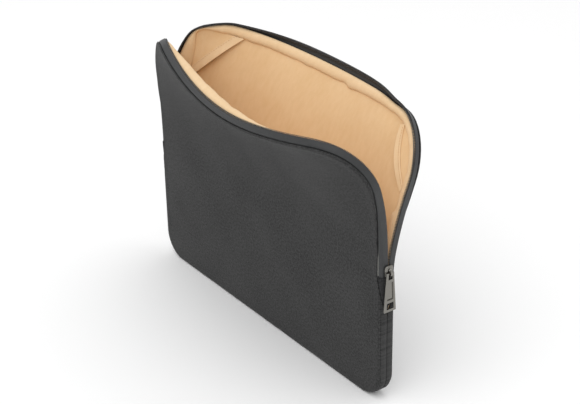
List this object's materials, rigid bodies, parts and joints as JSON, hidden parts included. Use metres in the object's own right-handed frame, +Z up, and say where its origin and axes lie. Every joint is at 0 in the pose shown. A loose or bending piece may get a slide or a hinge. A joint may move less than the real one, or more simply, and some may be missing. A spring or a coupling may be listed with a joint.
{
  "type": "laptop sleeve",
  "caption": "Padded fabric laptop sleeve standing on its long edge, zip fully open, with two bowed flaps forming a wide mouth, brushed lining and corner straps inside.",
  "frame": {"origin": "centre of the flat bottom face the sleeve stands on", "axes": "+X along the sleeve's long side towards the slider, +Y from the front panel to the back panel, +Z up"},
  "size_m": [0.3562, 0.1414, 0.261],
  "materials": {
    "canvas": "matte woven polyester canvas, charcoal",
    "foam": "matte closed-cell foam",
    "lining": "soft brushed tan lining",
    "lining_rim": "soft brushed tan lining over a padded rim",
    "zip_tape": "smooth ribbed dark grey zip tape",
    "zip_coil": "moulded nylon coil",
    "nickel_metal": "polished gunmetal nickel plate"
  },
  "bodies": {
    "lower_sleeve": {"lower_cover": "canvas", "front_padding_lower": "foam", "back_padding_lower": "foam", "lining_lower": "lining", "front_rim_pad_lower": "lining_rim", "back_rim_pad_lower": "lining_rim", "bottom_seam_binding": "zip_tape", "side_seam_binding_right": "zip_tape", "side_seam_binding_left": "zip_tape", "zip_end_tab_right": "canvas", "zip_end_tab_left": "canvas", "zip_tape_lower_right": "zip_tape", "zip_tape_lower_left": "zip_tape", "zip_coil_lower_right": "zip_coil", "zip_coil_lower_left": "zip_coil", "zip_end_stops": "nickel_metal"},
    "front_flap": {"front_cover_upper": "canvas", "front_padding_upper": "foam", "front_lining_upper": "lining", "front_rim_pad_upper": "lining_rim", "front_zip_tape": "zip_tape", "front_zip_coil": "zip_coil"},
    "back_flap": {"back_cover_upper": "canvas", "back_padding_upper": "foam", "back_lining_upper": "lining", "back_rim_pad_upper": "lining_rim", "back_zip_tape": "zip_tape", "back_zip_coil": "zip_coil", "corner_strap_left": "lining", "corner_strap_right": "lining", "corner_hem_left": "lining_rim", "corner_hem_right": "lining_rim"},
    "slider": {"slider_body": "nickel_metal", "slider_bail": "nickel_metal"},
    "pull": {"pull_tab": "nickel_metal"}
  },
  "joints": [
    {"name": "front_flap_fold", "type": "hinge", "parent": "lower_sleeve", "child": "front_flap", "pos_m": [0, -0.0052, 0.136], "axis": [1, 0, 0], "range_deg": [-3, 20]},
    {"name": "back_flap_fold", "type": "hinge", "parent": "lower_sleeve", "child": "back_flap", "pos_m": [0, 0.0052, 0.136], "axis": [-1, 0, 0], "range_deg": [-1, 20]},
    {"name": "slider_travel", "type": "slide", "parent": "lower_sleeve", "child": "slider", "axis": [0, 0, 1], "range_m": [0, 0.006]},
    {"name": "pull_swing", "type": "hinge", "parent": "slider", "child": "pull", "pos_m": [0.1779, 0, 0.1317], "axis": [0, -1, 0], "range_deg": [0, 165]}
  ]
}
